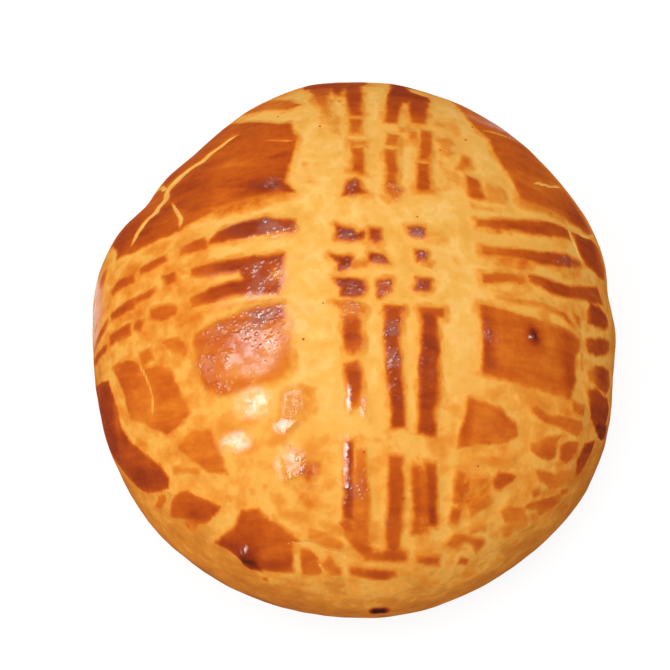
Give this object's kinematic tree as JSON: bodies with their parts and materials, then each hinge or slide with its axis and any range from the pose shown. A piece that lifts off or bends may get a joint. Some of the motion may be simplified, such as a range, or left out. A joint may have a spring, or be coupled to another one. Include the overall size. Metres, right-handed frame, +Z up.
{
  "type": "pogaca bread roll",
  "caption": "Round domed bread roll with a flat base and an egg-glazed crust that is split and scored by crossed fork furrows.",
  "frame": {"origin": "middle of the flat base", "axes": "+Z up through the dome, +X to the right and -Y to the front of the roll as the picture shows it"},
  "size_m": [0.0892, 0.0962, 0.0459],
  "materials": {
    "crust": "baked dough with an egg glaze"
  },
  "bodies": {
    "root": {"bun": "crust"}
  },
  "joints": []
}
